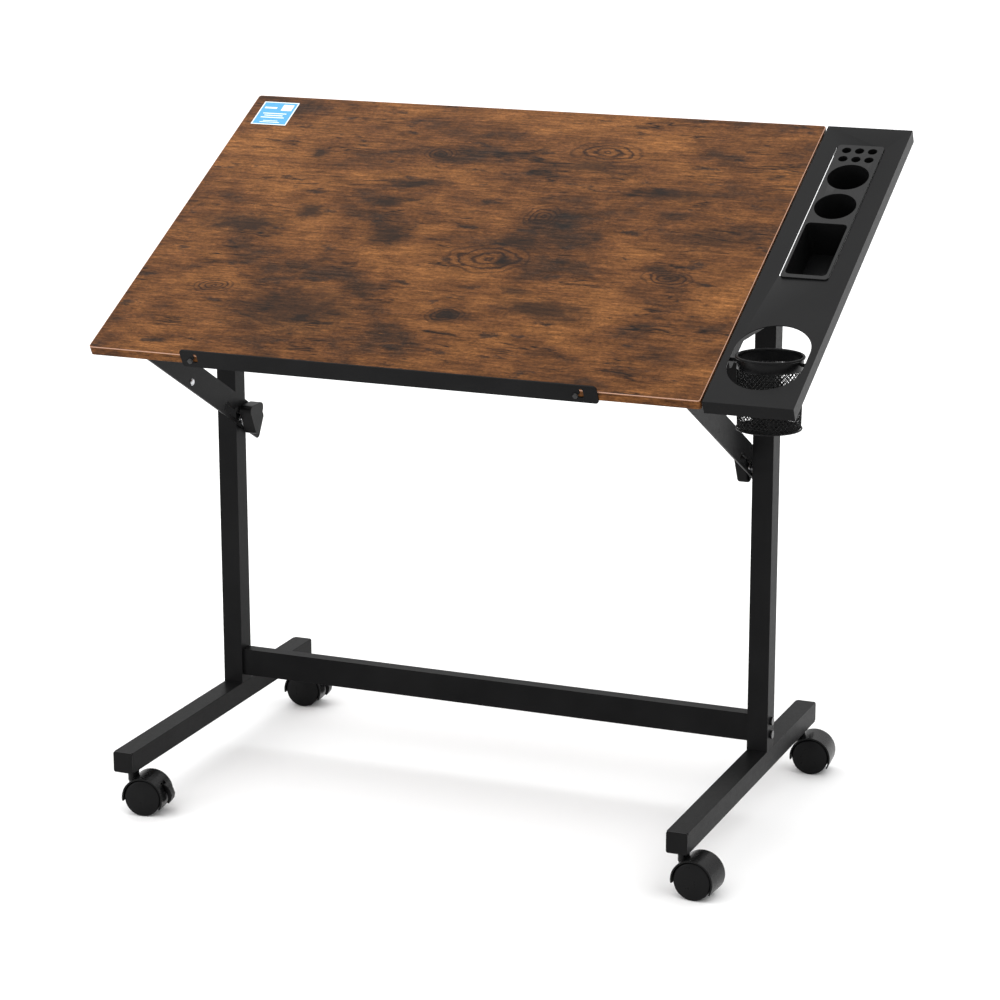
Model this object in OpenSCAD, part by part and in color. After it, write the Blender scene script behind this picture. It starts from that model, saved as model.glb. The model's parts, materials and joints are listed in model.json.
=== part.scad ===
// Drafting table on casters: a tilting wood-effect top with a steel side panel, carried by two
// welded side frames that a crossbar joins. Millimetres, +Z up, front of the table towards -Y.
// The origin is on the floor, under the middle of the whole object as it stands at rest.

/* [Tabletop] */
// Width of the board, left to right
board_w = 877; // [860:1:900]
// Depth of the board, front to back
board_d = 600; // [590:1:620]
// Thickness of the board
board_t = 14; // [12:0.5:18]
// Thickness of the edge banding
banding_t = 1; // [0.5:0.1:2]
// Tilt of the top at rest, in degrees above flat
tilt = 27.5; // [20:0.5:35]

/* [Side panel] */
// Width of the steel side panel
panel_w = 120; // [116:1:130]
// Gap between the board and the panel
panel_gap = 3; // [2:0.5:5]
// Depth of the panel's folded flanges
panel_h = 19; // [17:0.5:25]
// Thickness of the panel's sheet steel
sheet_t = 1.2; // [0.8:0.1:1.6]
// Radius of the rounded ends of the basket hole
basket_hole_r = 50; // [49:0.5:54]
// Length of the basket hole, front to back
basket_hole_l = 130; // [120:1:140]
// Distance of the basket hole's centre from the front edge
basket_hole_s = 96; // [90:1:105]

/* [Frame] */
// Outer size of the square tubes
tube = 30; // [28:1:32]
// Wall of the tubes
tube_wall = 1.5; // [1:0.1:2]
// Half the distance between the two uprights' centrelines
frame_half = 413; // [405:1:415]
// Reach of the feet in front of the uprights
foot_front = 358; // [330:1:380]
// Reach of the feet behind the uprights
foot_back = 224; // [200:1:240]
// Height of the underside of the feet
foot_z = 66; // [64:1:70]
// Height of the underside of the top rails
rail_z = 716; // [700:1:730]
// Reach of the top rails behind the uprights
rail_back = 120; // [90:1:150]
// Height of the crossbars' section
crossbar_h = 40; // [30:1:45]
// Depth of the crossbars' section
crossbar_d = 20; // [16:1:25]
// Height of the lower crossbar's underside
crossbar_z = 108; // [100:1:140]
// Height of the upper crossbar's underside
upper_crossbar_z = 612; // [600:1:640]
// Thickness of the plastic end caps' heads
cap_t = 3; // [2:0.5:5]

/* [Tilt hinge and support arms] */
// Distance of the hinge axis in front of the uprights' centres
hinge_reach = 203; // [190:1:215]
// Distance of the hinge axis behind the board's front edge
hinge_s = 169; // [160:1:180]
// Distance of the hinge axis below the board's underside
hinge_drop = 17.5; // [17.5:0.5:19]
// Distance of the arms' pivots below the board's underside
arm_drop = 15; // [15:0.5:17]
// Width of the support arms
arm_w = 40; // [36:1:44]
// Thickness of the support arms
arm_t = 3; // [2:0.5:3]
// Distance of the arms' lower edge below their pivot line
arm_low = 11.5; // [11:0.5:12]
// Fall of the arms at rest, in degrees
arm_fall = 29.7; // [28:0.1:31]
// Reach of the arms' lower ends beyond the clamp studs
arm_tail = 59.5; // [56:0.5:64]
// Height of the clamp studs
clamp_z = 501; // [495:1:510]
// Diameter of the clamp studs and hinge bolts
stud_d = 8; // [6:1:8]
// Depth of the tilt brackets' flanges beside the rails
bracket_h = 46; // [40:1:48]
// Thickness of the knobs
knob_t = 18; // [14:1:22]

/* [Paper ledge] */
// Length of the ledge
ledge_l = 598; // [560:1:620]
// Height of the ledge's strip
ledge_h = 28; // [24:1:32]
// Thickness of the ledge's strip
ledge_t = 2; // [1:0.5:2.5]
// Distance of the ledge's left end from the board's left edge
ledge_x = 142; // [120:1:160]
// Height of the raised ledge's top edge above the board
ledge_up = 10; // [8:0.5:11]
// Sideways travel of the ledge
ledge_shift = 8.5; // [7:0.5:10]

/* [Organiser] */
// Width of the organiser
organiser_w = 65; // [62:1:66]
// Length of the organiser
organiser_l = 297; // [294:1:300]
// Distance of the organiser's front end from the panel's front edge
organiser_s = 259; // [255:1:265]
// Diameter of the two cups
cup_d = 57; // [54:1:58]
// Depth of the two cups
cup_depth = 46; // [40:1:50]
// Diameter of the six pen holes
pen_d = 13; // [11:0.5:14]

/* [Basket] */
// Outer diameter of the basket's rim
basket_d = 90; // [86:1:92]
// Height of the basket
basket_h = 96; // [90:1:98]
// Distance of the basket's pivot from the panel's front edge
basket_s = 98; // [96:1:100]
// Distance of the basket's pivot below the panel's top face
basket_drop = 10.2; // [9:0.1:11]
// Distance of the basket's pivot below its rim
basket_rim_up = 8; // [7:0.5:9]

/* [Casters] */
// Diameter of the caster wheels
wheel_d = 53; // [48:1:54]
// Width of one of the twin wheels
wheel_w = 17; // [16:0.5:18]
// Trail of the wheels behind the swivel axis
trail = 20; // [16:1:22]
// Distance of the swivel axes from the ends of the feet
caster_inset = 30; // [25:1:40]

/* [Hidden] */

$fn = 48;
eps = 0.01;
clear = 0.3;         // gap between bodies that move past each other
fit = 0.05;          // radial clearance of a shaft in its hole
bolt_d = 6;
wood_screw_d = 4;
plate_t = 2;         // folded steel of the tilt brackets

black = [0.09, 0.09, 0.095];
plastic = [0.05, 0.05, 0.055];
steel = [0.7, 0.7, 0.72];
wood = [0.42, 0.24, 0.12];

// Places worked out from the driving dimensions
half_tube = tube / 2;
foot_top = foot_z + tube;
rail_top = rail_z + tube;
hinge_z = rail_z + half_tube;
board_x = -board_w / 2;
panel_x = board_w + panel_gap;             // panel's left edge, in the board's own coordinates
inner_face = frame_half - half_tube;       // uprights' inner faces
outer_face = frame_half + half_tube;
flange_face = inner_face - clear;          // tilt bracket's inner flange, outer side
arm_face = flange_face - plate_t - clear;  // support arm's outer side
arm_inner = arm_face - arm_t;
clamp_line = clamp_z - hinge_z;
// Length of an arm from its pivot to its clamp stud at rest
arm_l = (hinge_drop - arm_drop + hinge_reach * sin(tilt) - clamp_line * cos(tilt)) / sin(tilt + arm_fall);
arm_pivot_y = -arm_l * cos(arm_fall);
arm_pivot_z = clamp_z + arm_l * sin(arm_fall);
// The arm's pivot, along the board from its front edge
arm_s = hinge_s + (arm_pivot_y + hinge_reach) * cos(tilt) + (arm_pivot_z - hinge_z) * sin(tilt);

// Middle of the whole object at rest
front_y = -hinge_reach - (hinge_s + ledge_t + clear) * cos(tilt)
    - (hinge_drop + board_t + ledge_up) * sin(tilt);
mid_x = (panel_w + panel_gap) / 2;
mid_y = (foot_back + front_y) / 2;

module place() translate([-mid_x, -mid_y, 0]) children();

// Board coordinates: X from the board's left edge, Y up the slope from the front edge, Z from the top
module on_board()
    place() translate([board_x, -hinge_reach, hinge_z]) rotate([tilt, 0, 0])
        translate([0, -hinge_s, hinge_drop + board_t]) children();

module on_panel() on_board() translate([panel_x, 0, 0]) children();

// One copy on each side frame, the left one mirrored
module both_sides() for (side = [-1, 1]) side_frame(side) children();

module side_frame(side) place() on_side(side) children();

module on_side(side) {
    if (side > 0) children();
    else mirror([1, 0, 0]) children();
}

// ---------- Frame ----------

// A rectangle with round corners
module rounded_rectangle(w, h, r) {
    square([w, h - 2 * r], center = true);
    square([w - 2 * r, h], center = true);
    for (x = [-1, 1], y = [-1, 1]) translate([x * (w / 2 - r), y * (h / 2 - r)]) circle(r = r);
}

module square_tube(length) {
    translate([0, 0, length / 2]) difference() {
        cube([tube, tube, length], center = true);
        cube([tube - 2 * tube_wall, tube - 2 * tube_wall, length + 2], center = true);
    }
}

module along_y(y0) translate([0, y0, 0]) rotate([-90, 0, 0]) children();

module along_x(x0, d, length) translate([x0, 0, 0]) rotate([0, 90, 0]) cylinder(d = d, h = length);

module foot(side) color(black) side_frame(side) translate([frame_half, 0, foot_z + half_tube]) {
    difference() {
        along_y(-foot_front + cap_t) square_tube(foot_front + foot_back - 2 * cap_t);
        for (y = [caster_inset - foot_front, foot_back - caster_inset])
            translate([0, y, -half_tube - 1]) cylinder(d = 10, h = tube_wall + 2);
    }
}

module upright(side) color(black) side_frame(side) difference() {
    translate([frame_half, 0, foot_top]) square_tube(rail_z - foot_top);
    for (z = crossbar_bolt_heights())
        translate([0, 0, z]) along_x(inner_face - 1, bolt_d, tube + 2);
    translate([0, 0, clamp_z]) along_x(inner_face - 1, 11, tube_wall + 2);
}

function bolt_heights(z) = [z + crossbar_h / 4, z + crossbar_h * 3 / 4];

function crossbar_bolt_heights() = concat(bolt_heights(crossbar_z), bolt_heights(upper_crossbar_z));

module top_rail(side) color(black) side_frame(side) translate([frame_half, -hinge_reach, hinge_z]) {
    rail_l = hinge_reach + rail_back - cap_t;
    difference() {
        intersection() {
            along_y(-half_tube) square_tube(rail_l + half_tube);
            union() {
                translate([0, rail_l / 2, 0]) cube([tube + 1, rail_l, tube + 1], center = true);
                along_x(-half_tube - 1, tube, tube + 2);
            }
        }
        along_x(-half_tube - 1, stud_d + 2 * fit, tube + 2);
    }
}

module crossbar(z0) color(black) place() difference() {
    translate([0, 0, z0 + crossbar_h / 2]) difference() {
        cube([2 * inner_face, crossbar_d, crossbar_h], center = true);
        cube([2 * inner_face - 8, crossbar_d - 2 * tube_wall, crossbar_h - 2 * tube_wall], center = true);
    }
    for (side = [-1, 1], z = bolt_heights(z0))
        translate([0, 0, z]) on_side(side) along_x(inner_face - 5, bolt_d, 6);
}

module crossbar_bolts() color(steel) both_sides() for (z = crossbar_bolt_heights())
    translate([0, 0, z]) {
        along_x(inner_face - 12, bolt_d, tube + 12);
        along_x(outer_face, 12, 3.5);
    }

module end_cap(insert) {
    translate([0, 0, -cap_t]) linear_extrude(cap_t) rounded_rectangle(tube, tube, 3);
    translate([0, 0, insert / 2]) difference() {
        cube([tube - 2 * tube_wall, tube - 2 * tube_wall, insert], center = true);
        translate([0, 0, 1.5]) cube([tube - 8, tube - 8, insert], center = true);
    }
}

module foot_end_caps() color(plastic) both_sides() translate([frame_half, 0, foot_z + half_tube]) {
    along_y(-foot_front + cap_t) end_cap(12);
    mirror([0, 1, 0]) along_y(-foot_back + cap_t) end_cap(12);
}

// A rounded plug between the rail's side walls at the hinge, and a flat cap at the back
module rail_end_caps() color(plastic) both_sides() translate([frame_half, -hinge_reach, hinge_z]) {
    plug_w = tube - 2 * tube_wall;
    difference() {
        union() {
            intersection() {
                along_x(-plug_w / 2, plug_w, plug_w);
                translate([0, -half_tube / 2, 0]) cube([tube, half_tube, tube], center = true);
            }
            translate([0, 8, 0]) cube([plug_w, 16, plug_w], center = true);
        }
        along_x(-half_tube, stud_d + 2 * fit, tube);
    }
    translate([0, hinge_reach, 0]) mirror([0, 1, 0]) along_y(-rail_back + cap_t) end_cap(12);
}

module rail_pads() color(plastic) both_sides() for (y = [0, rail_back - 25])
    translate([frame_half, y, rail_top]) cylinder(d = 14, h = hinge_drop - half_tube - clear);

module clamp_inserts() color(steel) both_sides() translate([0, 0, clamp_z]) difference() {
    along_x(inner_face, 11, 12);
    along_x(inner_face - 1, stud_d, 14);
}

// ---------- Tabletop ----------

ledge_screw_z = -board_t / 2;
ledge_slot_in = 22;                        // slots' upright legs, from the ledge's ends
ledge_screw_xs = [ledge_x + ledge_slot_in - ledge_shift, ledge_x + ledge_l - ledge_slot_in - ledge_shift];
panel_screw_ss = [18, board_d / 3, board_d * 2 / 3, board_d - 18];
panel_screw_z = -board_t / 2 - 1.5;
label_w = 57;
label_t = 0.2;
bracket_front = 34;
bracket_back = 208;
bracket_deep = 74;                          // length of the deep part of the flanges
bracket_screw_ss = [70, 98, 126];

// Everything that is driven into the board, so that its holes match the screws
module board_screw_shanks() {
    for (x = ledge_screw_xs) translate([x, -clear, ledge_screw_z])
        rotate([-90, 0, 0]) cylinder(d = wood_screw_d, h = 16);
    for (s = panel_screw_ss) translate([board_w - 14, s, panel_screw_z])
        rotate([0, 90, 0]) cylinder(d = wood_screw_d, h = 14 + eps);
    for (side = [-1, 1], s = bracket_screw_ss)
        translate([board_w / 2 + side * frame_half, s, -board_t - eps])
            cylinder(d = wood_screw_d, h = 10 + eps);
}

module tabletop_board() color(wood) on_board() difference() {
    translate([banding_t, banding_t, -board_t])
        cube([board_w - 2 * banding_t, board_d - 2 * banding_t, board_t]);
    board_screw_shanks();
    label_area(label_t + 1);
}

module edge_banding() color(wood) on_board() difference() {
    translate([0, 0, -board_t]) cube([board_w, board_d, board_t]);
    translate([banding_t, banding_t, -board_t - 1])
        cube([board_w - 2 * banding_t, board_d - 2 * banding_t, board_t + 2]);
    board_screw_shanks();
}

// The sticker lies flush with the board's top face
module label_area(h) translate([16, board_d - 15 - label_w, -label_t]) cube([label_w, label_w, h]);

module label() color([0.3, 0.66, 0.85]) on_board() label_area(label_t);

// Side view of the deep part of a tilt bracket's flange, beside the rail
module deep_flange() translate([bracket_back - bracket_deep, -bracket_h]) {
    translate([0, 8]) square([bracket_deep, bracket_h - 8]);
    translate([8, 0]) square([bracket_deep - 16, bracket_h]);
    for (s = [8, bracket_deep - 8]) translate([s, 8]) circle(r = 8);
}

module flange(x0) translate([x0, 0, 0]) rotate([90, 0, 90]) linear_extrude(plate_t) children();

module bracket_shape() {
    // Inner flange, with the arm's pivot at its front
    difference() {
        flange(-half_tube - clear - plate_t) union() {
            translate([bracket_front, -plate_t - 12]) square([bracket_back - bracket_front, 12 + plate_t]);
            deep_flange();
            translate([arm_s, -arm_drop]) circle(r = 11);
        }
        translate([0, hinge_s, -hinge_drop]) along_x(-half_tube - 4, stud_d, 6);
        translate([0, arm_s, -arm_drop]) along_x(-half_tube - 4, stud_d, 6);
    }
    // Outer ear at the hinge
    difference() {
        flange(half_tube + clear) deep_flange();
        translate([0, hinge_s, -hinge_drop]) along_x(half_tube - 1, stud_d, 6);
    }
    // Web under the board
    difference() {
        translate([-half_tube - clear, bracket_front, -plate_t])
            cube([tube + 2 * clear, bracket_back - bracket_front, plate_t]);
        for (s = bracket_screw_ss) translate([0, s, -plate_t - 1])
            cylinder(d = wood_screw_d, h = plate_t + 2);
    }
}

// Under the board, at one side frame; X grows outwards
module under_board(side) on_board() translate([board_w / 2, 0, -board_t]) on_side(side)
    translate([frame_half, 0, 0]) children();

module tilt_bracket(side) color(black) under_board(side) bracket_shape();

module bracket_screws() color(steel) for (side = [-1, 1]) under_board(side)
    for (s = bracket_screw_ss) translate([0, s, 0]) {
        translate([0, 0, -plate_t]) cylinder(d = wood_screw_d, h = plate_t + 10);
        translate([0, 0, -plate_t - 2.5]) cylinder(d = 8, h = 2.5);
    }

// Bolt from the outer ear through the rail to the inner flange, with thin heads
module hinge_bolts() color(steel) for (side = [-1, 1]) under_board(side)
    translate([0, hinge_s, -hinge_drop]) {
        along_x(-half_tube - clear - plate_t, stud_d, tube + 2 * clear + 2 * plate_t);
        along_x(half_tube + clear + plate_t, 13, 5);
        along_x(-half_tube - clear - plate_t - 2, 13, 2);
    }

module arm_pivot_bolts() color(steel) for (side = [-1, 1]) under_board(side)
    translate([0, arm_s, -arm_drop]) {
        along_x(-half_tube - clear - plate_t - clear - arm_t - clear, stud_d, plate_t + arm_t + 2 * clear);
        along_x(-half_tube - clear - plate_t - clear - arm_t - clear - 4, 14, 4);
        along_x(-half_tube - clear, 13, 4);
    }

module ledge_screws() color(plastic) on_board() for (x = ledge_screw_xs)
    translate([x, -clear, ledge_screw_z]) rotate([-90, 0, 0]) {
        cylinder(d = wood_screw_d, h = 16);
        translate([0, 0, -ledge_t - clear]) cylinder(d = wood_screw_d, h = ledge_t + clear);
        translate([0, 0, -ledge_t - clear - 2.6]) cylinder(d1 = 6.5, d2 = 9, h = 2.6);
    }

// ---------- Paper ledge ----------

// A strip seen from the front, with an L-shaped slot near each end
module ledge_outline() {
    slot_w = 5.4;
    difference() {
        translate([ledge_x + ledge_l / 2, ledge_up - ledge_h / 2])
            rounded_rectangle(ledge_l, ledge_h, 5);
        for (x = ledge_screw_xs) translate([x, ledge_screw_z]) {
            circle(d = slot_w);
            translate([0, -slot_w / 2]) square([ledge_shift, slot_w]);
            translate([ledge_shift - slot_w / 2, 0]) square([slot_w, 9]);
            translate([ledge_shift, 0]) circle(d = slot_w);
            translate([ledge_shift, 9]) circle(d = slot_w);
        }
    }
}

module paper_ledge() color(black) on_board() translate([0, -clear, 0])
    rotate([90, 0, 0]) linear_extrude(ledge_t) ledge_outline();

// ---------- Side panel ----------

organiser_x = (panel_w - organiser_w) / 2;
lip = 3.5;                                  // organiser's end lips, resting on the panel
left_slack = 2.4;                           // gaps beside the organiser in its opening
right_slack = 0.4;

module basket_hole(h) translate([panel_w / 2, basket_hole_s, -1]) linear_extrude(h) {
    straight = basket_hole_l - 2 * basket_hole_r;
    square([2 * basket_hole_r, straight], center = true);
    for (end = [-1, 1]) translate([0, end * straight / 2]) circle(r = basket_hole_r);
}

module side_panel() color(black) on_panel() difference() {
    translate([0, 0, -panel_h]) cube([panel_w, board_d, panel_h]);
    translate([sheet_t, sheet_t, -panel_h - 1])
        cube([panel_w - 2 * sheet_t, board_d - 2 * sheet_t, panel_h + 1 - sheet_t]);
    translate([0, 0, -sheet_t]) basket_hole(sheet_t + 2);
    translate([organiser_x - left_slack, organiser_s + lip, -sheet_t - 1])
        cube([organiser_w + left_slack + right_slack, organiser_l - 2 * lip, sheet_t + 2]);
    for (s = panel_screw_ss) translate([-1, s, panel_screw_z])
        rotate([0, 90, 0]) cylinder(d = wood_screw_d, h = sheet_t + 2);
}

module panel_spacers() color(plastic) on_board() for (s = panel_screw_ss)
    translate([board_w, s, panel_screw_z]) rotate([0, 90, 0]) difference() {
        cylinder(d = 10, h = panel_gap);
        translate([0, 0, -1]) cylinder(d = wood_screw_d, h = panel_gap + 2);
    }

module panel_screws() color(steel) on_board() for (s = panel_screw_ss)
    translate([board_w - 14, s, panel_screw_z]) rotate([0, 90, 0]) {
        cylinder(d = wood_screw_d, h = 14 + panel_gap + sheet_t);
        translate([0, 0, 14 + panel_gap + sheet_t]) cylinder(d = 8, h = 2.5);
    }

// ---------- Basket ----------

rim_wire = 3.6;
basket_r = basket_d / 2 - rim_wire / 2;     // centre line of the rim wire
band_r = basket_r - 0.2;                    // outside of the solid band
band_t = 0.8;
band_h = 13;
foot_r = band_r - 1.8;                      // outside of the mesh at its foot
mesh_top = basket_rim_up - rim_wire / 2 - band_h;
mesh_bottom = basket_rim_up + rim_wire / 2 - basket_h + 2.2;
pin_d = 5;

// A pad on the flange's inner side, with the pin that the basket hangs on
module basket_hangers() color(black) on_panel()
    for (side = [-1, 1]) translate([panel_w / 2, basket_s, -basket_drop]) on_side(side) {
        pad_x = panel_w / 2 - sheet_t - 1.5;
        along_x(pad_x, 15, 1.5);
        along_x(band_r - band_t - 2, pin_d, pad_x - band_r + band_t + 2);
        along_x(band_r - band_t - 3, pin_d + 2.5, 1);
    }

// Basket coordinates: the pivot is at the origin, and +Z is up while it hangs
module hanging() on_panel() translate([panel_w / 2, basket_s, -basket_drop]) rotate([-tilt, 0, 0])
    children();

module basket_rim() color(plastic) hanging() translate([0, 0, basket_rim_up])
    rotate_extrude() translate([basket_r, 0]) circle(d = rim_wire, $fn = 24);

module basket_band() color(plastic) hanging() difference() {
    translate([0, 0, mesh_top]) cylinder(r = band_r, h = band_h);
    translate([0, 0, mesh_top - 1]) cylinder(r = band_r - band_t, h = band_h + 2);
    along_x(-band_r - 1, pin_d + 2 * fit, 2 * band_r + 2);
}

module basket_mesh() color(plastic) hanging() rotate_extrude() polygon([
    [band_r, mesh_top], [foot_r, mesh_bottom], [foot_r - 1, mesh_bottom], [band_r - 1, mesh_top]]);

module basket_floor() color(plastic) hanging() {
    translate([0, 0, mesh_bottom - 1]) cylinder(r = foot_r, h = 1);
    translate([0, 0, mesh_bottom - 1]) rotate_extrude() translate([foot_r + 0.8, 0])
        circle(r = 1.2, $fn = 24);
}

// ---------- Organiser ----------

organiser_top = 1.5;                        // lips' thickness, above the panel
organiser_wall = 2;
cup_ss = [157.3, 223.8];                    // cups' centres from the organiser's front end
tray_s = [7, 119];
tray_depth = 52;
pen_x = 18.3;                               // pitch of the pen holes across
pen_ss = [264.7, 284.3];
pen_depth = 38;

// Bodies that hang below the top plate, grown by a wall's thickness
module organiser_pockets(grow) {
    for (s = cup_ss) translate([0, s, -cup_depth - grow]) cylinder(d = cup_d + 2 * grow, h = 80);
    translate([0, (tray_s[0] + tray_s[1]) / 2, -tray_depth - grow]) linear_extrude(80)
        rounded_rectangle(cup_d + 2 * grow, tray_s[1] - tray_s[0] + 2 * grow, 7 + grow);
}

module pen_holes(d, floor_z) for (i = [-1, 0, 1], s = pen_ss)
    translate([i * pen_x, s, floor_z]) cylinder(d = d, h = 80);

module organiser_tray() color(plastic) on_panel() translate([panel_w / 2, organiser_s, 0])
    difference() {
        union() {
            translate([0, organiser_l / 2, clear]) linear_extrude(organiser_top)
                rounded_rectangle(organiser_w, organiser_l, 5);
            translate([-organiser_w / 2, lip + clear, -1.5])
                cube([organiser_w, organiser_l - 2 * lip - 2 * clear, 2]);
            intersection() {
                organiser_pockets(organiser_wall);
                translate([-organiser_w / 2, lip + 1, -60])
                    cube([organiser_w, organiser_l - 2 * lip - 2, 60]);
            }
            translate([-cup_d / 2 - organiser_wall, pen_ss[0] - 10, -pen_depth - organiser_wall])
                cube([cup_d + 2 * organiser_wall, pen_ss[1] - pen_ss[0] + 19, pen_depth + organiser_wall]);
            // A rib that closes the gap on the left beside the pen holes
            translate([clear - organiser_w / 2 - left_slack, pen_ss[1] - 9, -14]) cube([6, 18, 13]);
        }
        organiser_pockets(0);
        pen_holes(pen_d, -pen_depth);
    }

// ---------- Support arms ----------

slot_up = 4.3;
slot_down = 6;
slot_ends = [-69, 48.5];                    // slot, along the arm from the clamp stud
notch_w = 9;
notch_h = 9.5;
notches = [-60, -32, -4, 24];
rivet_u = 182;                              // rivet, from the clamp stud up the arm
rivet_d = 6;
washer_t = 2;

// Side view of an arm: U along it from its pivot, V up
module arm_outline() {
    end_u = arm_l + arm_tail;
    top_v = arm_w - arm_low;
    difference() {
        union() {
            circle(r = arm_low);
            polygon([[0, -arm_low], [end_u - 4, -arm_low], [end_u, 4 - arm_low], [end_u, top_v - 4],
                [end_u - 4, top_v], [36, top_v], [-2, arm_low - 0.2]]);
        }
        circle(d = stud_d + 2 * fit);
        translate([arm_l + slot_ends[0], -slot_down])
            square([slot_ends[1] - slot_ends[0], slot_down + slot_up]);
        for (u = notches) translate([arm_l + u, 0]) {
            translate([-notch_w / 2, 0]) square([notch_w, notch_h - notch_w / 2]);
            translate([0, notch_h - notch_w / 2]) circle(d = notch_w);
        }
        translate([arm_l - rivet_u, 0]) circle(d = rivet_d);
    }
}

// Arm coordinates in the Y-Z plane, with X outwards from the middle of the table
module on_arm(side) side_frame(side) translate([0, arm_pivot_y, arm_pivot_z]) rotate([-arm_fall, 0, 0])
    children();

module arm(side) color(black) on_arm(side) translate([arm_inner, 0, 0])
    rotate([90, 0, 90]) linear_extrude(arm_t) arm_outline();

module arm_rivet(side) color(steel) on_arm(side) translate([0, arm_l - rivet_u, 0]) {
    along_x(arm_inner, rivet_d, arm_t);
    translate([arm_inner - 1.6, 0, 0]) rotate([0, 90, 0]) cylinder(d1 = 7.5, d2 = 11, h = 1.6);
}

// Stud with a washer on each side of the arm; its outer end stops just short of the upright
module clamp_stud(side) color(steel) side_frame(side) translate([0, 0, clamp_z]) {
    stud_in = arm_inner - 16;
    along_x(stud_in, stud_d, inner_face - clear - stud_in);
    along_x(arm_face + clear, 18, 1.5);
    along_x(arm_inner - clear - washer_t, 20, washer_t);
}

// Three-cornered knob, flat side up, with a blind bore for the stud
module knob(side) color(plastic)
    side_frame(side) translate([arm_inner - washer_t - 2 * clear - knob_t, 0, clamp_z]) difference() {
        rotate([90, 0, 90]) hull() {
            for (corner = [[-11, 17], [15, 17], [3, -12]])
                translate(corner) cylinder(r = 8, h = knob_t, $fn = 32);
        }
        along_x(knob_t - 15, stud_d + 2 * fit, 16);
    }

// ---------- Casters ----------

wheel_r = wheel_d / 2;
web_t = 11;
hood_in = wheel_r + 1.2;
hood_out = wheel_r + 3.5;
hood_w = web_t + 2 * wheel_w + 2 * clear + 1;
hood_ends = [-30, 190];                     // sweep of the cover, in degrees round the axle
neck_top = 60;
axle_d = 6;
swivel_d = 8;
swivel_z = 38;                              // foot of the swivel stem
lever_pin = [22, 13];                       // brake lever's pin, from the wheels' axle
lever_pin_d = 3;
lever_w = 14;
tongue_w = 4.4;

// Each caster: side, end, and the direction that it trails in, in degrees from +X
casters = [[-1, -1, 8], [-1, 1, 6], [1, -1, -3], [1, 1, 6]];

function caster_y(end) = end < 0 ? caster_inset - foot_front : foot_back - caster_inset;

// Caster coordinates: the swivel axis is at X = 0, and the wheels trail along +X
module on_caster(i) place()
    translate([casters[i][0] * frame_half, caster_y(casters[i][1]), 0]) rotate([0, 0, casters[i][2]])
        children();

// A flat shape round the axle, seen from the caster's side, made width wide across it
module on_axle(width) translate([trail, 0, wheel_r]) rotate([90, 0, 0])
    linear_extrude(width, center = true) children();

module caster_stems() color(steel) for (i = [0 : len(casters) - 1]) on_caster(i) {
    translate([0, 0, swivel_z]) cylinder(d = swivel_d, h = foot_z - swivel_z);
    translate([0, 0, neck_top + 1]) cylinder(d = 14, h = foot_z - neck_top - 1);
    translate([0, 0, foot_z]) cylinder(d = 10, h = 22);
}

// The part of a disc that lies inside the cover's sweep
module swept_disc(r) difference() {
    circle(r = r);
    polygon([[0, 0], 90 * [cos(hood_ends[1]), sin(hood_ends[1])], [-30, -90], [30, -90],
        90 * [cos(hood_ends[0]), sin(hood_ends[0])]]);
}

// Cover over both wheels, a web between them, and the neck that the stem turns in
module hood(i, braked) color(plastic) on_caster(i) difference() {
    union() {
        on_axle(hood_w) difference() {
            swept_disc(hood_out);
            circle(r = hood_in);
        }
        on_axle(web_t) {
            swept_disc(hood_in + 0.6);
            circle(r = 10);
        }
        translate([0, 0, swivel_z - 2]) intersection() {
            cylinder(d = 14, h = 20);
            cube([14, web_t, 60], center = true);
        }
        translate([0, 0, wheel_r + 20]) difference() {
            cylinder(d = 16, h = neck_top - wheel_r - 20);
            translate([trail, 0, -20]) rotate([90, 0, 0]) cylinder(r = hood_in, h = 60, center = true);
        }
    }
    translate([0, 0, swivel_z - 1]) cylinder(d = swivel_d + 2 * fit, h = 40);
    on_axle(web_t + 2) circle(d = axle_d);
    if (braked) {
        on_axle(tongue_w + 2 * clear) {
            translate(lever_pin) circle(r = 4);
            polygon([lever_pin + [-4, 0], lever_pin + [0, -4], [60, -12], [60, 32], lever_pin + [0, 6]]);
        }
        on_axle(lever_w + 2 * clear) polygon([[22, 4], [60, 4], [60, 30], [22, 22]]);
        on_axle(web_t + 2) translate(lever_pin) circle(d = lever_pin_d + 2 * fit);
    }
}

module axle(i) color(steel) on_caster(i) on_axle(2 * wheel_w + web_t - 6) circle(d = axle_d);

// A wheel with a plain face; end is -1 for the one on the -Y side
module wheel(i, end) color(plastic)
    on_caster(i) translate([trail, end * (web_t / 2 + clear), wheel_r]) rotate([-90 * end, 0, 0])
        rotate_extrude() polygon([
            [axle_d / 2 + fit, 0], [wheel_r - 1, 0], [wheel_r, 1], [wheel_r, wheel_w - 2.5],
            [wheel_r - 0.8, wheel_w - 0.8], [wheel_r - 2.5, wheel_w], [0, wheel_w],
            [0, wheel_w - 2.5], [axle_d / 2 + fit, wheel_w - 2.5]]);

// A hooked tab outside the cover, a tongue through its window, and the pin that it turns on
module brake_lever(i) color(plastic) on_caster(i) {
    on_axle(lever_w) polygon([[28, 18.5], [33, 15.5], [37, 9.5], [39.3, 3], [38, -4], [34, -10],
        [31.5, -8.5], [33, -2], [32.5, 4], [29.5, 11]]);
    on_axle(tongue_w) {
        translate(lever_pin) circle(r = 3.4);
        polygon([lever_pin + [0, -3.4], [32, 6], [33, 13], [29, 17.5], lever_pin + [0, 3.4]]);
    }
    on_axle(web_t - 0.6) translate(lever_pin) circle(d = lever_pin_d);
}

// ---------- Nodes ----------

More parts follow.
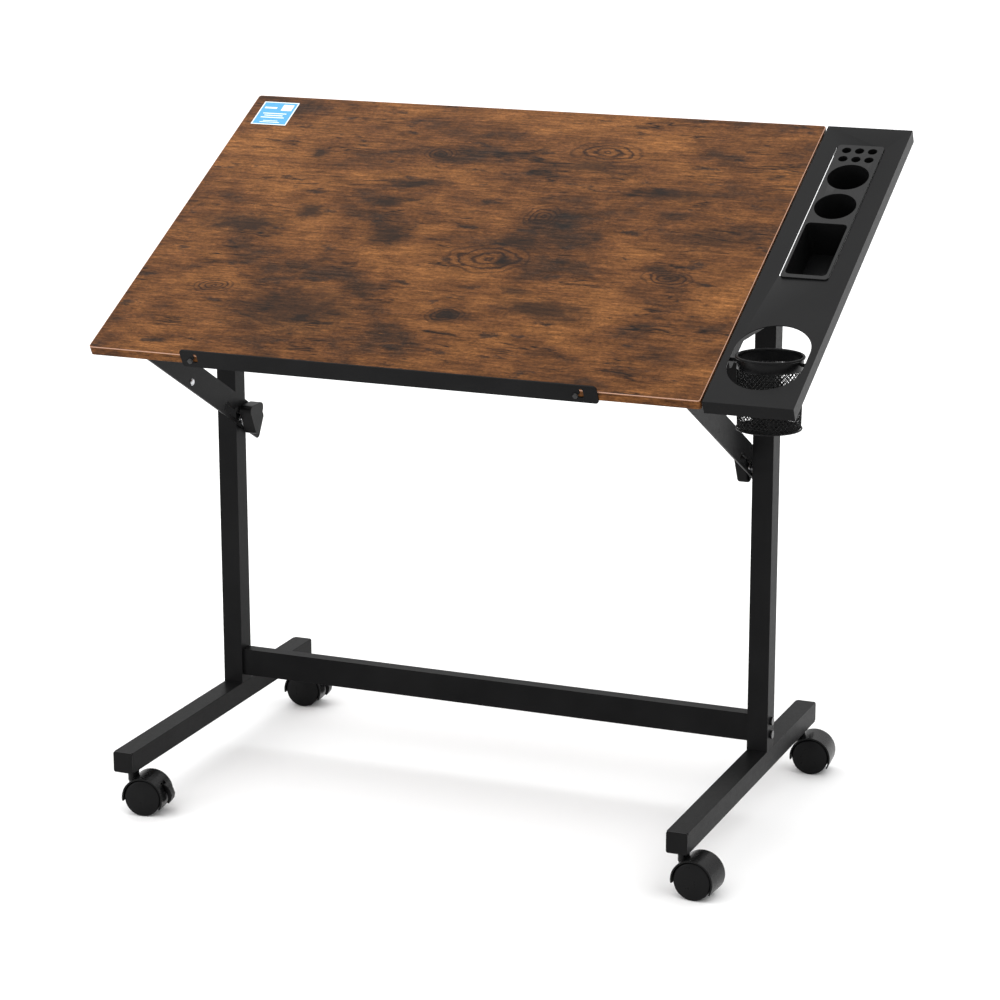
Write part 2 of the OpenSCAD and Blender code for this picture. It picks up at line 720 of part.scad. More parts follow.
foot(-1);  // left_foot
foot(1);  // right_foot
upright(-1);  // left_upright
upright(1);  // right_upright
top_rail(-1);  // left_top_rail
top_rail(1);  // right_top_rail
crossbar(crossbar_z);
crossbar(upper_crossbar_z);  // upper_crossbar
crossbar_bolts();
foot_end_caps();
rail_end_caps();
rail_pads();
clamp_inserts();
caster_stems();
tabletop_board();
edge_banding();
label();
tilt_bracket(-1);  // left_tilt_bracket
tilt_bracket(1);  // right_tilt_bracket
bracket_screws();
hinge_bolts();
arm_pivot_bolts();
ledge_screws();
side_panel();
panel_spacers();
panel_screws();
basket_hangers();
paper_ledge();
organiser_tray();
basket_rim();
basket_band();
basket_mesh();
basket_floor();
arm(-1);  // left_arm
arm(1);  // right_arm
arm_rivet(-1);  // left_arm_rivet
arm_rivet(1);  // right_arm_rivet
clamp_stud(-1);  // left_clamp_stud
clamp_stud(1);  // right_clamp_stud
knob(-1);  // left_knob
knob(1);  // right_knob
hood(0, true);  // front_left_hood
axle(0);  // front_left_axle
wheel(0, -1);  // front_left_outer_wheel
wheel(0, 1);  // front_left_inner_wheel
brake_lever(0);  // front_left_brake_lever
hood(1, true);  // rear_left_hood
axle(1);  // rear_left_axle
wheel(1, -1);  // rear_left_outer_wheel
wheel(1, 1);  // rear_left_inner_wheel
brake_lever(1);  // rear_left_brake_lever
hood(2, false);  // front_right_hood
axle(2);  // front_right_axle
wheel(2, -1);  // front_right_outer_wheel
wheel(2, 1);  // front_right_inner_wheel
hood(3, false);  // rear_right_hood
axle(3);  // rear_right_axle
wheel(3, -1);  // rear_right_outer_wheel
wheel(3, 1);  // rear_right_inner_wheel
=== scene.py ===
import json
import math

import bmesh
import bpy
from mathutils import Matrix, Vector


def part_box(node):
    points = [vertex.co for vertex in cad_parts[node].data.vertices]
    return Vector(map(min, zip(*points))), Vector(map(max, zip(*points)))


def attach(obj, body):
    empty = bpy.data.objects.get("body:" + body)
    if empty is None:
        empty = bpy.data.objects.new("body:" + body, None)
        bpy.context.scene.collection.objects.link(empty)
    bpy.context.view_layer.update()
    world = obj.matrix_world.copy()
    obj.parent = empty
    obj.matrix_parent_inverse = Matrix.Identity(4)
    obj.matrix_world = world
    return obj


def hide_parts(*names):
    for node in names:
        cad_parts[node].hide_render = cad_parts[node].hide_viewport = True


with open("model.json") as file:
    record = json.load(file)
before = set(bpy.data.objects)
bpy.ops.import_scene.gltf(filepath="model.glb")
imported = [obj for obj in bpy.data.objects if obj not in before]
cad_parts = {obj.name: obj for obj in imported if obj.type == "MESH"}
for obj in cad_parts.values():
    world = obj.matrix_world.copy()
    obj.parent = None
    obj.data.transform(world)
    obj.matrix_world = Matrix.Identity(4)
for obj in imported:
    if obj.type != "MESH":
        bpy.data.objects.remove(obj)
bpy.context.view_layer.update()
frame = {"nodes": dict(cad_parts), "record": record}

MM = 0.001
nodes = frame["nodes"]
bodies = frame["record"]["behaviour"]["bodies"]
body_of = {node: body for body, names in bodies.items() for node in names}

# ---------- The tilted top's own coordinates ----------
# X from the board's left edge, Y up the slope from its front edge, Z up from its top face

NORMAL = Vector(frame["record"]["mounts"][0]["axis"]).normalized()
SLOPE = Vector((0, NORMAL.z, -NORMAL.y))


def tilted_sizes(low, high):
    """Length up the slope and thickness of a flat piece on the board, from its box's corners at rest."""
    size = high - low
    spread = SLOPE.y ** 2 - SLOPE.z ** 2
    length = (size.y * SLOPE.y - size.z * SLOPE.z) / spread
    thickness = (size.z * SLOPE.y - size.y * SLOPE.z) / spread
    return length, thickness


board_low, board_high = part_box("edge_banding")
BOARD_W = board_high.x - board_low.x
BOARD_D, BOARD_T = tilted_sizes(board_low, board_high)
BOARD_ORIGIN = Vector((board_low.x, board_low.y, board_low.z + BOARD_T * NORMAL.z))
ON_BOARD = Matrix.Translation(BOARD_ORIGIN) @ Matrix((
    (1, 0, 0, 0), (0, SLOPE.y, NORMAL.y, 0), (0, SLOPE.z, NORMAL.z, 0), (0, 0, 0, 1)))


# ---------- Mesh helpers ----------

def new_piece(name, bm, node, material, placing, smooth=35, stands_for=True):
    """A piece from a bmesh, riding with a CAD node's body. Edges sharper than smooth degrees stay sharp."""
    mesh = bpy.data.meshes.new(name)
    bmesh.ops.recalc_face_normals(bm, faces=bm.faces)
    bm.to_mesh(mesh)
    bm.free()
    mesh.polygons.foreach_set("use_smooth", [True] * len(mesh.polygons))
    mesh.set_sharp_from_angle(angle=math.radians(smooth))
    mesh.materials.append(material)
    piece = bpy.data.objects.new(name, mesh)
    bpy.context.scene.collection.objects.link(piece)
    piece.matrix_world = placing
    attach(piece, body_of[node])
    if stands_for:
        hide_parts(node)
    return piece


def clean_copy(node, placing):
    """A CAD node's mesh with its seams joined and its flat faces whole, in another frame's coordinates."""
    bm = bmesh.new()
    bm.from_mesh(nodes[node].data)
    bm.transform(placing.inverted())
    bmesh.ops.remove_doubles(bm, verts=bm.verts, dist=2e-6)
    bmesh.ops.dissolve_limit(bm, angle_limit=math.radians(0.6), verts=bm.verts, edges=bm.edges)
    return bm


def eased(node, material, width, segments, placing=Matrix.Identity(4), angle=38):
    """A CAD node's copy with small round edges that catch the light, width in millimetres."""
    piece = new_piece(node + "_finished", clean_copy(node, placing), node, material, placing)
    bevel = piece.modifiers.new("eased edges", "BEVEL")
    bevel.width = width * MM
    bevel.segments = segments
    bevel.limit_method = "ANGLE"
    bevel.angle_limit = math.radians(angle)
    bevel.harden_normals = True
    bevel.use_clamp_overlap = True
    bevel.miter_outer = "MITER_ARC"


def add_box(bm, low, high):
    """A box between two corners, given in millimetres."""
    size = [(high[i] - low[i]) * MM for i in range(3)]
    middle = [(high[i] + low[i]) / 2 * MM for i in range(3)]
    made = bmesh.ops.create_cube(bm, size=1)["verts"]
    bmesh.ops.scale(bm, vec=size, verts=made)
    bmesh.ops.translate(bm, vec=middle, verts=made)


def bridge(bm, rings, closed=False):
    """Quads between rings of points that all have the same count."""
    loops = [[bm.verts.new(point) for point in ring] for ring in rings]
    following = loops[1:] + loops[:1] if closed else loops[1:]
    for a, b in zip(loops, following):
        count = len(a)
        for i in range(count):
            bm.faces.new((a[i], a[(i + 1) % count], b[(i + 1) % count], b[i]))
    return loops


def circle(radius, z, count=96):
    """Points round Z, from sizes in millimetres."""
    turns = [math.tau * i / count for i in range(count)]
    return [Vector((radius * math.cos(turn), radius * math.sin(turn), z)) * MM for turn in turns]


def ring_of_wire(bm, radius, z, wire_radius, sides):
    """A torus round Z, from sizes in millimetres."""
    rings = []
    for i in range(sides):
        turn = math.tau * i / sides
        rings.append(circle(radius + wire_radius * math.cos(turn), z + wire_radius * math.sin(turn)))
    bridge(bm, rings, closed=True)


def disc(bm, radius, low, high, count):
    """A flat round disc about Z between two heights, in millimetres."""
    loops = bridge(bm, [circle(radius, z, count) for z in (low, high)])
    for loop in loops:
        bm.faces.new(loop)


def rounded_outline(half_x, half_y, radius, steps=6):
    """A rectangle with round corners, anticlockwise, in millimetres."""
    points = []
    for quarter, (sx, sy) in enumerate(((1, 1), (-1, 1), (-1, -1), (1, -1))):
        for step in range(steps + 1):
            turn = math.radians(90 * (quarter + step / steps))
            points.append((sx * (half_x - radius) + radius * math.cos(turn),
                           sy * (half_y - radius) + radius * math.sin(turn)))
    return points


def plate(bm, outline, low, high, ease_mm=0.0):
    """An outline drawn up from low to high, its top and bottom edges rounded inwards by ease_mm."""
    turns = [math.radians(angle) for angle in (0, 30, 60, 90)] if ease_mm else [0.0]
    rounding = [(ease_mm * (1 - math.sin(turn)), ease_mm * (1 - math.cos(turn))) for turn in turns]
    lower = [(inset, low + rise) for inset, rise in rounding]
    upper = [(inset, high - rise) for inset, rise in reversed(rounding)]
    centre = Vector((sum(x for x, y in outline), sum(y for x, y in outline))) / len(outline)
    rings = []
    for inset, z in lower + upper:
        ring = []
        for point in outline:
            away = Vector(point) - centre
            pull_x = math.copysign(min(inset, abs(away.x)), away.x)
            pull_y = math.copysign(min(inset, abs(away.y)), away.y)
            ring.append(Vector((point[0] - pull_x, point[1] - pull_y, z)) * MM)
        rings.append(ring)
    loops = bridge(bm, rings)
    bm.faces.new(loops[0])
    bm.faces.new(loops[-1])


# ---------- Materials ----------

SOCKETS = {"metallic": "Metallic", "roughness": "Roughness", "shine": "Specular IOR Level"}


def shader(name, **inputs):
    """A new material, its node tree and its principled shader."""
    material = bpy.data.materials.new(name)
    material.use_nodes = True
    principled = material.node_tree.nodes["Principled BSDF"]
    for key, value in inputs.items():
        principled.inputs[SOCKETS[key]].default_value = value
    return material, material.node_tree, principled


def add(tree, kind, *values, **settings):
    """A node with its inputs set in order: a socket is linked, a value is set, None is left alone."""
    node = tree.nodes.new("ShaderNode" + kind)
    for key, value in settings.items():
        setattr(node, key, value)
    for socket, value in zip(node.inputs, values):
        if isinstance(value, bpy.types.NodeSocket):
            tree.links.new(value, socket)
        elif value is not None:
            socket.default_value = value
    return node


def math_node(tree, operation, *values):
    return add(tree, "Math", *values, operation=operation).outputs[0]


def coordinates(tree, scale=(1, 1, 1)):
    """Object coordinates, in metres, stretched by a scale."""
    here = add(tree, "TexCoord").outputs["Object"]
    return add(tree, "Mapping", here, None, None, scale, vector_type="POINT").outputs[0]


def noise(tree, vector, scale, detail, rough=0.5, distortion=0.0):
    """Noise with about scale bumps in each metre of the vector."""
    node = add(tree, "TexNoise", vector)
    node.inputs["Scale"].default_value = scale
    node.inputs["Detail"].default_value = detail
    node.inputs["Roughness"].default_value = rough
    node.inputs["Distortion"].default_value = distortion
    return node.outputs["Fac"]


def opaque(colour):
    """Four channels from a grey or from three channels."""
    return (colour, colour, colour, 1) if isinstance(colour, (int, float)) else (*colour, 1)


def ramp(tree, value, *stops):
    """A colour ramp; each stop is (place, colour or grey)."""
    node = add(tree, "ValToRGB", value)
    elements = node.color_ramp.elements
    while len(elements) < len(stops):
        elements.new(0.5)
    for element, (place, colour) in zip(elements, stops):
        element.position = place
        element.color = opaque(colour)
    return node.outputs["Color"]


def mix(tree, factor, a, b, blend="MIX"):
    """Colour a with colour b over it; the factor and each colour may be a socket or a value."""
    node = tree.nodes.new("ShaderNodeMix")
    node.data_type = "RGBA"
    node.blend_type = blend
    factor_socket, first, second = node.inputs[0], node.inputs[6], node.inputs[7]
    if isinstance(factor, bpy.types.NodeSocket):
        tree.links.new(factor, factor_socket)
    else:
        factor_socket.default_value = factor
    for socket, value in ((first, a), (second, b)):
        if isinstance(value, bpy.types.NodeSocket):
            tree.links.new(value, socket)
        else:
            socket.default_value = opaque(value)
    return node.outputs[2]


def bump(tree, height, strength, distance, principled):
    """Fine relief on the shader: distance is in metres."""
    node = add(tree, "Bump", strength, distance)
    tree.links.new(height, node.inputs["Height"])
    tree.links.new(node.outputs[0], principled.inputs["Normal"])


def link(tree, value, principled, name):
    tree.links.new(value, principled.inputs[name])


def coated_steel(name, dark, light, roughness, grain=1700, strength=0.12, *, shine):
    """Powder coat: a fine pebbled film with slight changes in tone and sheen."""
    material, tree, principled = shader(name, shine=shine)
    here = coordinates(tree)
    drift = noise(tree, here, 9, 3.0, 0.6)
    link(tree, ramp(tree, drift, (0.3, dark), (0.7, light)), principled, "Base Color")
    film = noise(tree, here, 160, 4.0, 0.6)
    sheen = ramp(tree, film, (0.3, roughness - 0.03), (0.7, roughness + 0.03))
    link(tree, sheen, principled, "Roughness")
    bump(tree, noise(tree, here, grain, 2.0, 0.55), strength, 0.0002, principled)
    return material


def moulded_plastic(name, dark, light, roughness, grain=900, *, shine):
    """Moulded plastic with a spark-eroded grain and faint flow marks."""
    material, tree, principled = shader(name, shine=shine)
    here = coordinates(tree)
    flow = noise(tree, here, 25, 4.0, 0.55, 0.6)
    link(tree, ramp(tree, flow, (0.3, dark), (0.7, light)), principled, "Base Color")
    wear = noise(tree, here, 140, 3.0)
    link(tree, ramp(tree, wear, (0.3, roughness - 0.03), (0.7, roughness + 0.04)), principled, "Roughness")
    bump(tree, noise(tree, here, grain, 3.0, 0.6), 0.1, 0.0002, principled)
    return material


def plated_steel(name, dark, light, roughness):
    """Zinc-plated steel: bright, with fine random polishing marks and dull patches."""
    material, tree, principled = shader(name, metallic=1.0)
    patches = noise(tree, coordinates(tree), 90, 4.0)
    link(tree, ramp(tree, patches, (0.35, dark), (0.65, light)), principled, "Base Color")
    marks = noise(tree, coordinates(tree, (1, 1, 14)), 220, 3.0, 0.6)
    link(tree, ramp(tree, marks, (0.3, roughness - 0.08), (0.7, roughness + 0.12)), principled, "Roughness")
    bump(tree, marks, 0.08, 0.0001, principled)
    return material


def printed_label(name, colour):
    """Smooth printed film, a touch uneven in tone and gloss."""
    material, tree, principled = shader(name)
    faint = noise(tree, coordinates(tree), 400, 2.0)
    darker = tuple(channel * 0.93 for channel in colour)
    link(tree, ramp(tree, faint, (0.3, darker), (0.7, colour)), principled, "Base Color")
    link(tree, ramp(tree, faint, (0.3, 0.34), (0.7, 0.42)), principled, "Roughness")
    return material


# Features of the laminate's print, in board coordinates: centre and half-sizes in metres, turn in degrees
RINGS = (
    ((0.494, 0.257), (0.064, 0.030), 3),
    ((0.342, 0.483), (0.026, 0.017), 0),
    ((0.477, 0.127), (0.026, 0.018), 10),
    ((0.585, 0.508), (0.058, 0.024), 0),
    ((0.541, 0.351), (0.026, 0.026), 28),
    ((0.760, 0.240), (0.040, 0.018), -6),
    ((0.120, 0.150), (0.030, 0.016), 5),
)
# The same for dark blots, with how strong each is
BLOTS = (
    ((0.516, 0.252), (0.012, 0.010), 10, 0.95),
    ((0.334, 0.289), (0.028, 0.024), 0, 0.80),
    ((0.325, 0.414), (0.042, 0.009), -2, 0.90),
    ((0.534, 0.293), (0.046, 0.012), -5, 0.75),
    ((0.342, 0.483), (0.011, 0.009), 0, 0.75),
    ((0.477, 0.127), (0.015, 0.012), 0, 0.85),
    ((0.301, 0.367), (0.028, 0.009), 6, 0.80),
    ((0.110, 0.294), (0.050, 0.022), 0, 0.85),
    ((0.610, 0.154), (0.055, 0.018), -4, 0.75),
    ((0.258, 0.112), (0.078, 0.044), 0, 0.70),
    ((0.200, 0.330), (0.016, 0.013), 0, 0.80),
    ((0.700, 0.420), (0.050, 0.011), 2, 0.75),
    ((0.156, 0.470), (0.012, 0.010), 0, 0.85),
    ((0.790, 0.330), (0.040, 0.020), 8, 0.60),
    ((0.560, 0.190), (0.020, 0.007), -10, 0.70),
    ((0.574, 0.472), (0.050, 0.012), 0, 0.60),
)
RING_WAVER, RING_RATE = 0.55, 21.0
BLOT_WAVER = 2.2

# Painted highlight: pale flecks laid into the laminate's colour
WOOD_GLINT_HIGHLIGHT = (0.33, 0.13, 0.038)
WOOD_LIGHT = (0.215, 0.086, 0.025)
WOOD_BASE = (0.090, 0.0345, 0.0115)
WOOD_SHADE = (0.046, 0.0200, 0.0090)
WOOD_DARK = (0.0150, 0.0105, 0.0085)
WOOD_RING = (0.016, 0.0085, 0.006)
WOOD_BLOT = (0.011, 0.0075, 0.006)
WOOD_PORE = (0.008, 0.006, 0.005)
WOOD_CRACK = (0.006, 0.0045, 0.004)


def bent_coordinates(tree, here):
    """Object coordinates pushed about by a few millimetres, so that nothing in the print is straight."""
    warp = add(tree, "TexNoise", here)
    warp.inputs["Scale"].default_value = 9
    warp.inputs["Detail"].default_value = 5
    offset = add(tree, "VectorMath", warp.outputs["Color"], (0.5, 0.5, 0.5), operation="SUBTRACT")
    push = (0.035, 0.022, 0.0)
    return add(tree, "VectorMath", offset.outputs[0], push, here, operation="MULTIPLY_ADD").outputs[0]


def streaks(tree, where, along, across, detail, rough, shift=(0, 0, 0)):
    """Noise drawn out along the board: along and across count its bumps per metre each way."""
    stretched = add(tree, "Mapping", where, shift, None, (along, across, across), vector_type="POINT")
    return noise(tree, stretched.outputs[0], 1.0, detail, rough)


def shade(tree, colour, pattern, low, high):
    """The colour times a factor that runs from low to high through 1 as the pattern grows."""
    return mix(tree, 1.0, colour, ramp(tree, pattern, low, (0.50, 1.0), high), "MULTIPLY")


def reach(tree, here, wobble, waver, centre, half, turn):
    """Distance from a feature's centre in its own half-sizes, with a wavering edge."""
    shift = add(tree, "VectorMath", here, (-centre[0], -centre[1], 0), operation="ADD").outputs[0]
    turned = add(tree, "VectorRotate", shift, rotation_type="Z_AXIS")
    turned.inputs["Angle"].default_value = -math.radians(turn)
    inverse = (1 / half[0], 1 / half[1], 0)
    scaled = add(tree, "VectorMath", turned.outputs[0], inverse, operation="MULTIPLY").outputs[0]
    length = add(tree, "VectorMath", scaled, operation="LENGTH").outputs["Value"]
    return math_node(tree, "MULTIPLY_ADD", wobble, waver, length)


def cracks(tree, bent):
    """How much of each point is crack: thin lines along the board, in some areas only."""
    drift = streaks(tree, bent, 1.3, 15, 5.0, 0.62)
    line = math_node(tree, "ABSOLUTE", math_node(tree, "SUBTRACT", drift, 0.5))
    cracked_area = ramp(tree, streaks(tree, bent, 11, 11, 3.0, 0.5), (0.50, 0.0), (0.56, 1.0))
    return math_node(tree, "MULTIPLY", ramp(tree, line, (0.0, 1.0), (0.010, 0.0)), cracked_area)


def knots(tree, bent, colour):
    """The placed rings and blots over a colour."""
    wobble = math_node(tree, "SUBTRACT", streaks(tree, bent, 40, 75, 6.0, 0.65), 0.5)
    for centre, half, turn in RINGS:
        far = reach(tree, bent, wobble, RING_WAVER, centre, half, turn)
        wave = math_node(tree, "SINE", math_node(tree, "MULTIPLY", far, RING_RATE))
        ring = math_node(tree, "POWER", math_node(tree, "MULTIPLY_ADD", wave, 0.5, 0.5), 2.5)
        fade = ramp(tree, math_node(tree, "MULTIPLY", far, 0.5), (0.35, 0.90), (0.70, 0.0))
        colour = mix(tree, math_node(tree, "MULTIPLY", ring, fade), colour, WOOD_RING)
    for centre, half, turn, strength in BLOTS:
        far = reach(tree, bent, wobble, BLOT_WAVER, centre, half, turn)
        soft = ramp(tree, math_node(tree, "MULTIPLY", far, 0.5), (0.25, strength), (0.80, 0.0))
        colour = mix(tree, soft, colour, WOOD_BLOT)
    return colour


def rustic_wood(name, knotty=True):
    """Rustic brown laminate: brown clouds and charcoal smudges, fine grain, knots, cracks and pores, with
    pale flecks of painted highlight.
    """
    material, tree, principled = shader(name, shine=0.05)
    here = coordinates(tree)
    bent = bent_coordinates(tree, here)
    broad = streaks(tree, bent, 4.2, 7.5, 8.0, 0.60, (3, 1, 0))
    patches = streaks(tree, bent, 11, 22, 9.0, 0.68, (2, 9, 0))
    smudges = streaks(tree, bent, 17, 46, 9.0, 0.62, (7, 2, 0))
    grain = streaks(tree, here, 16, 210, 6.0, 0.70)
    fibres = streaks(tree, here, 60, 900, 4.0, 0.72)
    mottle = streaks(tree, bent, 170, 330, 4.0, 0.7, (5, 4, 0))
    painted_glints = streaks(tree, bent, 60, 420, 5.0, 0.7, (1, 5, 0))
    pores = streaks(tree, bent, 160, 620, 3.0, 0.6)
    tone = math_node(tree, "MULTIPLY_ADD", patches, 0.50, math_node(tree, "MULTIPLY", broad, 0.50))
    tones = ((0.355, WOOD_DARK), (0.43, WOOD_SHADE), (0.485, WOOD_BASE), (0.65, WOOD_LIGHT))
    colour = ramp(tree, tone, *tones)
    colour = mix(tree, ramp(tree, smudges, (0.59, 0.0), (0.66, 0.80)), colour, WOOD_DARK)
    colour = shade(tree, colour, grain, (0.30, 0.50), (0.70, 1.60))
    colour = shade(tree, colour, fibres, (0.28, 0.60), (0.70, 1.38))
    colour = shade(tree, colour, mottle, (0.30, 0.62), (0.70, 1.45))
    # Painted highlight: pale flecks mixed into the colour
    colour = mix(tree, ramp(tree, painted_glints, (0.63, 0.0), (0.70, 0.40)), colour, WOOD_GLINT_HIGHLIGHT)
    colour = mix(tree, ramp(tree, pores, (0.30, 0.92), (0.36, 0.0)), colour, WOOD_PORE)
    crack = cracks(tree, bent)
    colour = mix(tree, crack, colour, WOOD_CRACK)
    if knotty:
        colour = knots(tree, bent, colour)
    link(tree, colour, principled, "Base Color")
    link(tree, ramp(tree, grain, (0.3, 0.52), (0.7, 0.42)), principled, "Roughness")
    bump(tree, mix(tree, crack, fibres, (0, 0, 0)), 0.10, 0.0003, principled)
    return material


BLACK_COAT = coated_steel(
    "black powder coat", (0.0058, 0.0058, 0.0060), (0.0090, 0.0090, 0.0093), 0.36, 900, 0.35, shine=0.042)
PANEL_COAT = coated_steel(
    "panel powder coat", (0.0040, 0.0040, 0.0042), (0.0052, 0.0052, 0.0054), 0.32, shine=0.07)
BASKET_COAT = coated_steel(
    "basket enamel", (0.0030, 0.0030, 0.0032), (0.0042, 0.0042, 0.0044), 0.30, 600, 0.05, shine=0.10)
BLACK_SCREW = coated_steel(
    "blackened screw", (0.0030, 0.0030, 0.0032), (0.0045, 0.0045, 0.0047), 0.22, 900, 0.05, shine=0.4)
BLACK_PLASTIC = moulded_plastic(
    "black plastic", (0.0040, 0.0040, 0.0042), (0.0055, 0.0055, 0.0057), 0.36, shine=0.08)
ORGANISER_PLASTIC = moulded_plastic(
    "organiser plastic", (0.0050, 0.0050, 0.0052), (0.0064, 0.0064, 0.0066), 0.34, shine=0.15)
WHEEL_PLASTIC = moulded_plastic(
    "wheel nylon", (0.0036, 0.0036, 0.0038), (0.0048, 0.0048, 0.0050), 0.30, 700, shine=0.10)
HOOD_PLASTIC = moulded_plastic(
    "hood nylon", (0.0028, 0.0028, 0.0030), (0.0040, 0.0040, 0.0042), 0.28, 700, shine=0.12)
ZINC = plated_steel("zinc plate", (0.50, 0.51, 0.53), (0.66, 0.66, 0.66), 0.34)
WOOD = rustic_wood("rustic laminate")
BANDING = rustic_wood("edge banding", knotty=False)
# Painted highlight: a paler strip along the banding's upper edge, drawn with the labels' smooth film shader
ARRIS_HIGHLIGHT = printed_label("banding arris highlight", (0.40, 0.21, 0.13))
LABEL_WHITE = printed_label("label white", (0.72, 0.76, 0.79))
LABEL_BLUE = printed_label("label blue", (0.040, 0.30, 0.55))

# ---------- Tabletop ----------
# Lengths in millimetres; heights are from the board's top face

SEAM_INSET = 1.0
CORNER_R = 4.0
BOARD_SINK = 0.08
BOARD_EASE = 0.2
THICK = BOARD_T / MM
# Inset from the board's edge and height, round the banding's section
BANDING_SECTION = (
    (0.95, 0.1 - THICK), (0.95, -0.12), (0.80, -0.05), (0.55, -0.03), (0.25, -0.14), (0.08, -0.40),
    (0.02, -0.9), (0.0, 0.7 - THICK), (0.05, 0.35 - THICK), (0.3, 0.05 - THICK), (0.6, -THICK),
)
# The same for the painted highlight, a paler line along its upper edge
ARRIS_SECTION = (
    (0.90, -0.04), (0.50, -0.02), (0.18, -0.12), (0.0, -0.50), (0.0, -0.95), (0.3, -0.95), (0.9, -0.3),
)

LABEL_BORDER = 2
LABEL_CORNER_R = 1.0
LABEL_FOOT = -0.1
SHEET_TOP, FIELD_TOP, BARS_TOP = -0.04, -0.02, 0.0
# Left, front, width and depth of a blank bar, a blank square and lines of no words
LABEL_BARS = (
    (6, 40, 20, 4), (34, 36, 17, 15), (9, 27, 38, 2.2), (13, 22, 30, 2.2), (9, 17, 38, 2.2),
    (16, 9, 24, 1.6), (12, 5.5, 32, 1.6),
)


def board_outline(inset, radius):
    """The board's outline, set in from its edge, about the board's middle."""
    return rounded_outline(BOARD_W / 2 / MM - inset, BOARD_D / 2 / MM - inset, radius)


def board():
    """The laminated board, a fine seam short of the banding round it."""
    bm = bmesh.new()
    plate(bm, board_outline(SEAM_INSET, CORNER_R - SEAM_INSET), -THICK, -BOARD_SINK, BOARD_EASE)
    bmesh.ops.translate(bm, vec=(BOARD_W / 2, BOARD_D / 2, 0), verts=bm.verts)
    new_piece("board", bm, "tabletop_board", WOOD, ON_BOARD)


def edge_strip(name, section, material, stands_for=True):
    """A closed section run round the board's edge."""
    bm = bmesh.new()
    rings = []
    for inset, z in section:
        rings.append([Vector((x, y, z)) * MM for x, y in board_outline(inset, CORNER_R - inset)])
    bridge(bm, rings, closed=True)
    bmesh.ops.translate(bm, vec=(BOARD_W / 2, BOARD_D / 2, 0), verts=bm.verts)
    new_piece(name, bm, "edge_banding", material, ON_BOARD, stands_for=stands_for)


def label():
    """A plain sticker with a blue field, a blank square and bars where a printed one has words."""
    low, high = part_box("label")
    side = (high.x - low.x) / MM
    thickness = tilted_sizes(low, high)[1]
    corner = ON_BOARD.inverted() @ Vector((low.x, low.y, low.z + thickness * NORMAL.z))
    left, front = corner.x / MM, corner.y / MM

    def square(name, inset, top, material, stands_for):
        half = side / 2 - inset
        bm = bmesh.new()
        plate(bm, rounded_outline(half, half, LABEL_CORNER_R, 3), LABEL_FOOT, top)
        middle = (left + side / 2, front + side / 2, 0)
        bmesh.ops.translate(bm, vec=Vector(middle) * MM, verts=bm.verts)
        new_piece(name, bm, "label", material, ON_BOARD, stands_for=stands_for)

    square("label_sheet", 0, SHEET_TOP, LABEL_WHITE, True)
    square("label_field", LABEL_BORDER, FIELD_TOP, LABEL_BLUE, False)
    bm = bmesh.new()
    for x, y, width, depth in LABEL_BARS:
        near = (left + x, front + y, LABEL_FOOT)
        add_box(bm, near, (near[0] + width, near[1] + depth, BARS_TOP))
    new_piece("label_bars", bm, "label", LABEL_WHITE, ON_BOARD, stands_for=False)


board()
edge_strip("banding", BANDING_SECTION, BANDING)
# Painted highlight: a paler strip along the banding's upper edge
edge_strip("banding_arris_highlight", ARRIS_SECTION, ARRIS_HIGHLIGHT, stands_for=False)
label()

# ---------- Side panel, organiser, ledge and the fittings under the board ----------

eased("side_panel", PANEL_COAT, 0.9, 3, ON_BOARD)
eased("organiser_tray", ORGANISER_PLASTIC, 0.8, 3, ON_BOARD)
eased("paper_ledge", BLACK_COAT, 0.35, 2, ON_BOARD)
eased("ledge_screws", BLACK_SCREW, 0.5, 2, ON_BOARD)
eased("panel_spacers", BLACK_PLASTIC, 0.3, 2, ON_BOARD)
for node in ("basket_hangers", "left_tilt_bracket", "right_tilt_bracket"):
    eased(node, BLACK_COAT, 0.4, 2, ON_BOARD)
for node in ("bracket_screws", "panel_screws", "hinge_bolts", "arm_pivot_bolts"):
    eased(node, ZINC, 0.5, 2, ON_BOARD)

# ---------- Basket ----------
# Lengths in millimetres, about the basket's own axis

rim_low, rim_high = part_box("basket_rim")
mesh_low, mesh_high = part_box("basket_mesh")
floor_low, floor_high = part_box("basket_floor")
BASKET_AXIS = Vector(((rim_low.x + rim_high.x) / 2, (rim_low.y + rim_high.y) / 2, 0))
ON_BASKET = Matrix.Translation(BASKET_AXIS)
RIM_R = (rim_high.x - rim_low.x) / 2 / MM
RIM_Z = (rim_low.z + rim_high.z) / 2 / MM
RIM_WIRE_R = (rim_high.z - rim_low.z) / 2 / MM
MESH_TOP, MESH_FOOT = mesh_high.z / MM, floor_low.z / MM
MESH_R = (mesh_high.x - mesh_low.x) / 2 / MM
BAND_WALL = 0.8
# The foot wire and the net keep this far inside the floor's own edge
FOOT_INSET = 2.0
FOOT_R = (floor_high.x - floor_low.x) / 2 / MM - FOOT_INSET
FOOT_WIRE_R = 1.15
FOOT_WIRE_Z = MESH_FOOT + 1.2
HUB_R = 4.6
STRAND = 1.5
# Radius and height of the wall net at its top and foot, and of the floor net at its edge and centre
WALL_NET = ((MESH_R - 0.85, MESH_TOP + 1.0), (FOOT_R - 0.65, MESH_FOOT + 1.6))
FLOOR_NET = ((FOOT_R - 0.5, FOOT_WIRE_Z), (3.5, FOOT_WIRE_Z))


